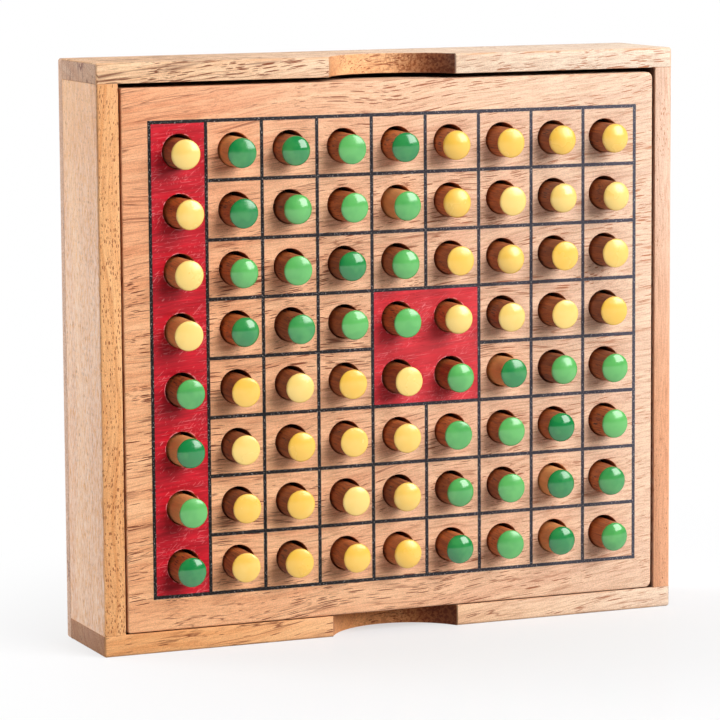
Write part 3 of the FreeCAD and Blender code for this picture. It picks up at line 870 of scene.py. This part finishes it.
def makePegTree():
    inputs = {
        "Float": [
            "Radius", "Length", "Dome", "Proud", "Pivot", "Pitch", "Paint Depth", "Bead", "Softness",
            "Least Droop", "Most Droop", "Least Sway", "Most Sway", "Least Slip", "Most Slip",
        ],
        "Vector": ["First Hole"], "Int": ["Count", "Seed", "Segments", "Rings"], "Material": ["Finish"],
    }
    outputs = {"Geometry": ["Geometry"]}
    tree, given, result = newGroup("turnedPegs", "GeometryNodeTree", inputs, outputs)
    radius, length = given["Radius"], given["Length"]
    dome, paintDepth = given["Dome"], given["Paint Depth"]

    # one peg from a flat sheet: across it is the way round, up it the way along
    sheet = {"Size X": 1.0, "Size Y": 1.0, "Vertices X": given["Segments"], "Vertices Y": given["Rings"]}
    sheet = valueOf(tree, "GeometryNodeMeshGrid", sheet)
    flat = split(tree, valueOf(tree, "GeometryNodeInputPosition"))
    turn = times(tree, plus(tree, flat[0], 0.5), 2 * math.pi)
    share = plus(tree, flat[1], 0.5)
    toEnd = smallest(tree, share, opposite(tree, share))
    capShare = smallest(tree, over(tree, toEnd, pegs["domeShare"]), 1.0)
    ballRadius = plus(tree, squared(tree, radius), squared(tree, dome))
    ballRadius = over(tree, ballRadius, times(tree, dome, 2.0))
    capAngle = times(tree, maths(tree, "ARCSINE", over(tree, radius, ballRadius)), pegs["overRim"])
    angle = times(tree, capShare, capAngle)
    ballWidth = times(tree, ballRadius, maths(tree, "SINE", angle))
    width = maths(tree, "SMOOTH_MIN", ballWidth, radius, given["Softness"])
    width = largest(tree, width, 0.0)

    def capDepthAt(reach):
        return times(tree, ballRadius, opposite(tree, maths(tree, "COSINE", reach)))

    capDepth, capEnd = capDepthAt(angle), capDepthAt(capAngle)
    sideShare = over(tree, minus(tree, share, pegs["domeShare"]), 1 - 2 * pegs["domeShare"])
    sideLength = minus(tree, length, times(tree, capEnd, 2.0))
    farHalf = maths(tree, "GREATER_THAN", share, 0.5)
    farCap = times(tree, minus(tree, capEnd, capDepth), 2.0, farHalf)
    along = plus(tree, capDepth, times(tree, clamped(tree, sideShare), sideLength), farCap)

    # the dipped coat ends in a slight bead at both ends
    fromTip = smallest(tree, along, minus(tree, length, along))
    coat = ramp(tree, fromTip, minus(tree, paintDepth, pegs["beadEnd"] * mm), paintDepth)
    bead = times(tree, opposite(tree, coat), given["Bead"])
    width = plus(tree, width, times(tree, bead, maths(tree, "GREATER_THAN", width, 0.1 * mm)))
    place = joined(tree, {
        0: times(tree, width, maths(tree, "COSINE", turn)),
        1: minus(tree, along, plus(tree, given["Proud"], given["Pivot"])),
        2: times(tree, width, maths(tree, "SINE", turn)),
    })
    # kept for the finish: the way along the bare wood from the front coat's edge, and the bare wood's length
    bareLength = minus(tree, length, times(tree, paintDepth, 2.0))
    shaped = keepValue(tree, sheet, "along", minus(tree, along, paintDepth), "POINT")
    shaped = keepValue(tree, shaped, "bareLength", bareLength, "POINT")
    shaped = valueOf(tree, "GeometryNodeSetPosition", {"Geometry": shaped, "Position": place})
    shaped = merged(tree, shaped, 0.01 * mm)

    # each stands a little differently in its loose hole
    def chance(low, high, salt):
        inputs = {2: low, 3: high, "Seed": plus(tree, given["Seed"], float(salt))}
        return valueOf(tree, "FunctionNodeRandomValue", inputs, 1, data_type="FLOAT")

    upward = joined(tree, {2: given["Pitch"]})
    points = lineOfPoints(tree, given["Count"], given["First Hole"], upward)
    slip = minus(tree, given["Pivot"], chance(given["Least Slip"], given["Most Slip"], 11))
    slip = {"Geometry": points, "Offset": joined(tree, {1: slip})}
    points = valueOf(tree, "GeometryNodeSetPosition", slip)
    droop = chance(given["Least Droop"], given["Most Droop"], 23)
    sway = chance(given["Least Sway"], given["Most Sway"], 37)
    tilt = valueOf(tree, "FunctionNodeEulerToRotation", {0: joined(tree, {0: droop, 2: sway})})
    standing = standOn(tree, points, shaped, Rotation=tilt)
    toned = keepValue(tree, standing, "pegTone", chance(0.0, 1.0, 51), "INSTANCE")
    toned = keepValue(tree, toned, "paintTone", chance(0.0, 1.0, 77), "INSTANCE")
    whole = valueOf(tree, "GeometryNodeRealizeInstances", {0: toned})
    plug(tree, result[0], finished(tree, whole, given["Finish"]))
    return tree


def makePegFinish(name, shown, hidden):
    material, tree, shader = newMaterial(name)
    wood = layWood(tree, pegs)
    place = wood["place"]

    def kept(valueName):
        return valueOf(tree, "ShaderNodeAttribute", None, "Fac", attribute_name=valueName)

    pegTone, paintTone = kept("pegTone"), kept("paintTone")
    paleShare = ramp(tree, pegTone, 0.84, 1.0, 0.0, pegs["palest"])
    bare = mixTone(tree, paleShare, wood["colour"], pegs["paleWood"])
    bare = mixTone(tree, 1.0, bare, ramp(tree, pegTone, 0.0, 0.8, *pegs["bareShade"]), "MULTIPLY")

    ragged = minus(tree, noise(tree, place, 420), 0.5)
    edge = plus(tree, kept("along"), times(tree, ragged, pegs["ragged"] * mm))
    soft = 0.05 * mm
    atFront = ramp(tree, edge, -soft, soft, 1.0, 0.0)
    atBack = ramp(tree, minus(tree, edge, kept("bareLength")), -soft, soft)

    def paint(colours):
        uneven = blotches(tree, place, 170, (0.3, 0.7), to=pegs["uneven"])
        share = clamped(tree, plus(tree, ramp(tree, paintTone, 0.2, 0.8), uneven))
        return mixTone(tree, share, colours[0], colours[1])

    colour = mixTone(tree, atFront, bare, paint(pegs[shown]))
    colour = mixTone(tree, atBack, colour, paint(pegs[hidden]))
    painted = largest(tree, atFront, atBack)
    gloss = ramp(tree, wood["smudge"], 0.3, 0.75, *pegs["gloss"][shown])
    dull = ramp(tree, wood["smudge"], *grain["smudges"], *pegs["bareRoughness"])
    ripple = times(tree, noise(tree, place, 260, 1.0), pegs["ripple"])
    height = mixNumber(tree, painted, wood["height"], ripple)
    finishWood(tree, shader, colour, mixNumber(tree, painted, dull, gloss), height, pegs["relief"])
    shader.inputs["IOR"].default_value = pegs["ior"]
    shader.inputs["Specular IOR Level"].default_value = pegs["shine"]
    return material


pegFinishes = {
    "peg_yellow": makePegFinish("pegYellow", "yellow", "green"),
    "peg_green": makePegFinish("pegGreen", "green", "yellow"),
}
pegTree = makePegTree()
pegLuck = random.Random(pegs["seed"])
for pegSeed, pegNode in enumerate(sorted(pegBoxes)):
    pegLow, pegHigh = pegBoxes[pegNode]
    pegFinish = pegFinishes[slots[pegNode]]
    domeHeight = pegLuck.uniform(*pegs["dome"]) * mm
    pegValues = {
        "Radius": pegRadius, "Length": pegLength, "Dome": domeHeight, "Proud": frontY - pegLow.y,
        "Pivot": pegs["pivot"] * mm, "Pitch": pitchUp, "Softness": pegs["edgeSoftness"] * mm,
        "Paint Depth": domeHeight + pegs["paintOver"] * mm, "Bead": pegs["bead"] * mm,
        "First Hole": Vector((pegLow.x + pegRadius, frontY, pegLow.z + pegRadius)),
        "Count": 2 if pegHigh.z - pegLow.z > pitchUp else 1, "Seed": 100 * pegSeed + pegs["seed"],
        "Segments": pegs["segments"] + 1, "Rings": pegs["rings"], "Finish": pegFinish,
    }
    for label, unit in (("Droop", math.radians(1)), ("Sway", math.radians(1)), ("Slip", mm)):
        pegValues["Least " + label], pegValues["Most " + label] = (at * unit for at in pegs[label.lower()])
    pegSource = growObject("pegSource", pegTree, pegValues)
    pegPiece = meshPiece(pieceName(pegNode), plainMesh(pegSource, pegs["sharpAngle"]), pegFinish)
    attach(pegPiece, pegNode)
    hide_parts(pegNode)
print("pegs made:", len(pegBoxes), "pieces")


# camera at the photograph's place

cameraPlan = {
    "place": (-0.45845, -1.07245, 0.23808), "look": (0.3867, 0.9127, -0.1317), "roll": -0.37,
    "lens": 188.05, "sensor": 36.0,
}


def makeCamera():
    data = bpy.data.cameras.new("camera")
    data.lens = cameraPlan["lens"]
    data.sensor_width = cameraPlan["sensor"]
    camera = linkedObject("camera", data)
    look = Vector(cameraPlan["look"]).normalized()
    right = look.cross(Vector((0, 0, 1))).normalized()
    up = right.cross(look)
    roll = math.radians(cameraPlan["roll"])
    leanRight = right * math.cos(roll) + up * math.sin(roll)
    leanUp = up * math.cos(roll) - right * math.sin(roll)
    turn = Matrix((leanRight, leanUp, -look)).transposed().to_4x4()
    camera.matrix_world = Matrix.Translation(cameraPlan["place"]) @ turn
    scene.camera = camera


makeCamera()


# studio: a pale floor that fades into white, a large soft box on the right with a weak one overhead,
# a window that only shows in the gloss, a fill on the left, and a bright room behind

studio = {
    "target": (0.0, 0.0, 0.09), "floorReach": 6.0, "floorTone": (235, 236, 238),
    "floorBounce": (160, 160, 162), "floorGloss": 0.03, "floorVeil": 0.5, "sheenRoughness": 0.12,
    "fadeCentre": (0.08, -0.1, 0.0), "fadeFrom": 0.1, "fadeTo": 0.3,
    "roomFront": 0.11, "roomBehind": 0.7, "roomMirrored": 1.0, "white": (1.0, 1.0, 1.0, 1.0),
}
# each lamp's way and distance from the target, its size and power, and whether it shows in matt and
# in glossy surfaces
lamps = {
    "keyBox": ((0.5, -0.76, 0.53), 3.2, (2.4, 2.2), 140.0, (True, False)),
    "topBox": ((0.1, -0.35, 1.0), 2.0, (1.6, 1.2), 5.0, (True, False)),
    "windowBox": ((0.66, -0.61, 0.44), 1.1, (0.66, 0.62), 7.0, (False, True)),
    "leftFill": ((-1.0, 0.75, 0.1), 1.8, (0.9, 1.2), 28.0, (True, True)),
}


def makeLamp(name, way, away, size, power, shows):
    data = bpy.data.lights.new(name, "AREA")
    data.shape = "RECTANGLE"
    data.size, data.size_y = size
    data.energy = power
    lamp = linkedObject(name, data)
    lamp.visible_diffuse, lamp.visible_glossy = shows
    towards = Vector(way).normalized()
    lamp.location = Vector(studio["target"]) + towards * away
    lamp.rotation_mode = "QUATERNION"
    lamp.rotation_quaternion = towards.to_track_quat("Z", "Y")


def makeWorld():
    world = bpy.data.worlds.new("studioRoom")
    scene.world = world
    tree = emptyTree(world)
    way = split(tree, valueOf(tree, "ShaderNodeTexCoord", None, "Generated"))[1]
    path = addNode(tree, "ShaderNodeLightPath").outputs
    behind = mixNumber(tree, path["Is Glossy Ray"], studio["roomBehind"], studio["roomMirrored"])
    room = ramp(tree, way, -0.1, 0.45, studio["roomFront"], behind)
    seen = largest(tree, path["Is Camera Ray"], path["Is Transmission Ray"])
    sky = {"Color": studio["white"], "Strength": mixNumber(tree, seen, room, 1.0)}
    sky = valueOf(tree, "ShaderNodeBackground", sky)
    addNode(tree, "ShaderNodeOutputWorld", {"Surface": sky})


def makeFloor():
    reach = studio["floorReach"]
    shell = bmesh.new()
    corners = squareLine((-reach, -reach), (reach, reach), 1, 1)
    shell.faces.new([shell.verts.new((x, y, 0.0)) for x, y in corners])
    floor = looseObject("floor", shell)
    material = bpy.data.materials.new("paleFloor")
    tree = emptyTree(material)
    place = valueOf(tree, "ShaderNodeTexCoord", None, "Object")
    away = distance(tree, place, studio["fadeCentre"])
    away = ramp(tree, away, studio["fadeFrom"], studio["fadeTo"], studio["floorVeil"], 1.0)
    path = addNode(tree, "ShaderNodeLightPath").outputs
    pale = mixTone(tree, path["Is Diffuse Ray"], studio["floorTone"], studio["floorBounce"])
    matt = valueOf(tree, "ShaderNodeBsdfDiffuse", {"Color": pale})
    sheen = {"Color": studio["white"], "Roughness": studio["sheenRoughness"]}
    sheen = valueOf(tree, "ShaderNodeBsdfGlossy", sheen)
    near = valueOf(tree, "ShaderNodeMixShader", {0: studio["floorGloss"], 1: matt, 2: sheen})
    glow = valueOf(tree, "ShaderNodeEmission", {"Color": studio["white"], "Strength": 1.0})
    mirrored = largest(tree, path["Is Glossy Ray"], path["Is Transmission Ray"])
    seen = largest(tree, times(tree, path["Is Camera Ray"], away), mirrored)
    mixed = valueOf(tree, "ShaderNodeMixShader", {0: seen, 1: near, 2: glow})
    addNode(tree, "ShaderNodeOutputMaterial", {"Surface": mixed})
    floor.data.materials.append(material)


for lampName, lampPlan in lamps.items():
    makeLamp(lampName, *lampPlan)
makeWorld()
makeFloor()
print("studio made")
